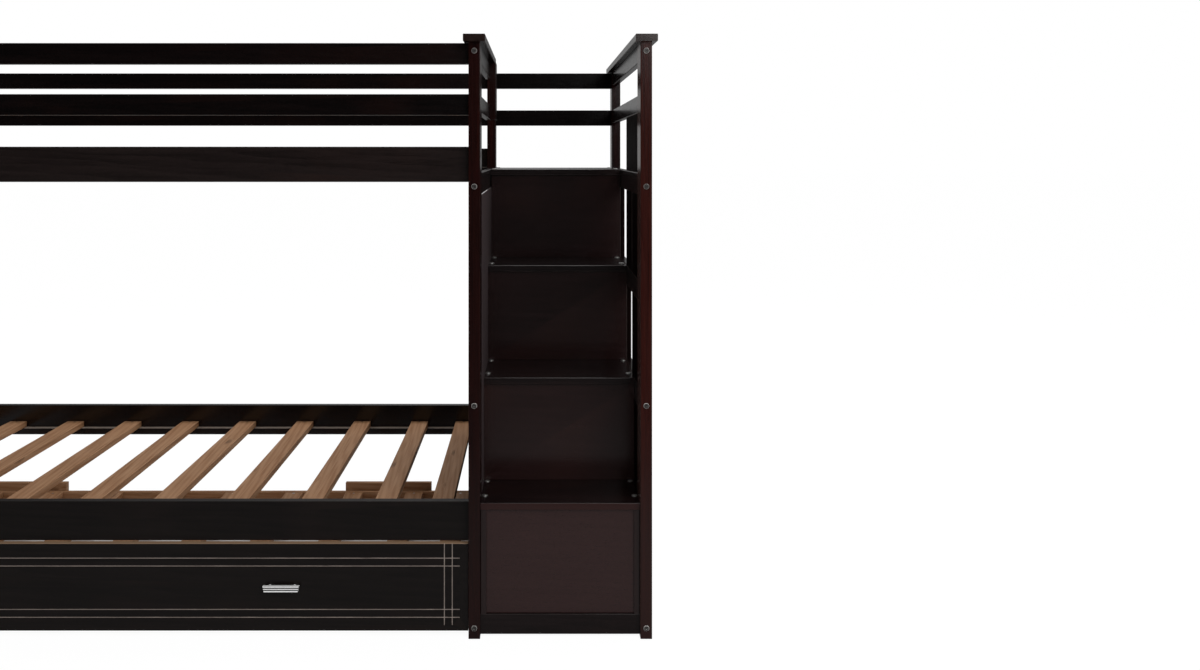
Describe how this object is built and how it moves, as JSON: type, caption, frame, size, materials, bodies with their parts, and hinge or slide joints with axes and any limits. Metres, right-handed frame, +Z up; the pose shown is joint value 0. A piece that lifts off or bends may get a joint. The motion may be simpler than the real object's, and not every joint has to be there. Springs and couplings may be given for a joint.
{
  "type": "bunk bed with storage stairs and trundle",
  "caption": "Wooden twin-over-twin bunk bed with box stairs and open cubbies at one end, guard rails, slatted decks and a pull-out trundle on casters.",
  "frame": {"origin": "on the floor, under the centre of the whole bed's bounding box", "axes": "+X along the bed towards the stairs, +Y from the front to the rear, +Z up"},
  "size_m": [2.461, 1.097, 1.56],
  "materials": {
    "espresso_wood": "espresso-stained wood under satin lacquer",
    "espresso_panel": "espresso-stained panel under satin lacquer",
    "natural_pine": "bare sawn pine",
    "zinc_steel": "zinc-plated steel",
    "handle_chrome": "polished chrome",
    "caster_wheel": "black nylon"
  },
  "bodies": {
    "bed_frame": {"barrel_nuts": "zinc_steel", "bolts": "zinc_steel", "bottom_shelf": "espresso_panel", "dowels": "natural_pine", "front_guard_rails": "espresso_wood", "kick_rail": "espresso_wood", "left_cap": "espresso_wood", "left_front_post": "espresso_wood", "left_rear_post": "espresso_wood", "left_side_rails": "espresso_wood", "lower_front_rail": "espresso_wood", "lower_rear_rail": "espresso_wood", "lower_slats": "natural_pine", "middle_cap": "espresso_wood", "middle_front_post": "espresso_wood", "middle_guard_stile": "espresso_wood", "middle_rear_post": "espresso_wood", "middle_side_rails": "espresso_wood", "platform_tread": "espresso_wood", "rear_guard_rails": "espresso_wood", "right_cap": "espresso_wood", "right_front_post": "espresso_wood", "right_planks": "espresso_wood", "right_rear_post": "espresso_wood", "right_side_rails": "espresso_wood", "riser_1": "espresso_panel", "riser_1_strips": "espresso_wood", "riser_2": "espresso_panel", "riser_3": "espresso_panel", "riser_4": "espresso_panel", "riser_trims": "espresso_wood", "slat_ledgers": "espresso_wood", "stair_back_panel": "espresso_panel", "stair_guard_rails": "espresso_wood", "stair_rear_rails": "espresso_wood", "stair_side_panel": "espresso_panel", "top_panels": "espresso_wood", "tread_1": "espresso_wood", "tread_2": "espresso_wood", "tread_3": "espresso_wood", "tread_bolts": "zinc_steel", "tread_cleats": "espresso_wood", "upper_front_rail": "espresso_wood", "upper_rear_rail": "espresso_wood", "upper_slats": "natural_pine", "wood_screws": "zinc_steel"},
    "trundle": {"caster_axles": "zinc_steel", "caster_blocks": "natural_pine", "caster_brackets": "zinc_steel", "trundle_front": "espresso_wood", "trundle_handles": "handle_chrome", "trundle_rails": "natural_pine", "trundle_screws": "zinc_steel", "trundle_sides": "natural_pine", "trundle_slats": "natural_pine", "trundle_stops": "natural_pine"},
    "wheel_front_left": {"wheel_front_left": "caster_wheel"},
    "wheel_front_right": {"wheel_front_right": "caster_wheel"},
    "wheel_rear_left": {"wheel_rear_left": "caster_wheel"},
    "wheel_rear_right": {"wheel_rear_right": "caster_wheel"}
  },
  "joints": [
    {"name": "trundle_slide", "type": "slide", "parent": "bed_frame", "child": "trundle", "axis": [0, -1, 0], "range_m": [0, 0.85]},
    {"name": "wheel_front_left_spin", "type": "hinge", "parent": "trundle", "child": "wheel_front_left", "pos_m": [-1.102, -0.435, 0.0255], "axis": [1, 0, 0], "range_deg": [0, 1950]},
    {"name": "wheel_front_right_spin", "type": "hinge", "parent": "trundle", "child": "wheel_front_right", "pos_m": [0.658, -0.435, 0.0255], "axis": [1, 0, 0], "range_deg": [0, 1950]},
    {"name": "wheel_rear_left_spin", "type": "hinge", "parent": "trundle", "child": "wheel_rear_left", "pos_m": [-1.102, 0.255, 0.0255], "axis": [1, 0, 0], "range_deg": [0, 1950]},
    {"name": "wheel_rear_right_spin", "type": "hinge", "parent": "trundle", "child": "wheel_rear_right", "pos_m": [0.658, 0.255, 0.0255], "axis": [1, 0, 0], "range_deg": [0, 1950]}
  ],
  "couplings": [
    {"joint": "wheel_front_left_spin", "follows": "trundle_slide", "rad_per_m": 40},
    {"joint": "wheel_front_right_spin", "follows": "trundle_slide", "rad_per_m": 40},
    {"joint": "wheel_rear_left_spin", "follows": "trundle_slide", "rad_per_m": 40},
    {"joint": "wheel_rear_right_spin", "follows": "trundle_slide", "rad_per_m": 40}
  ]
}
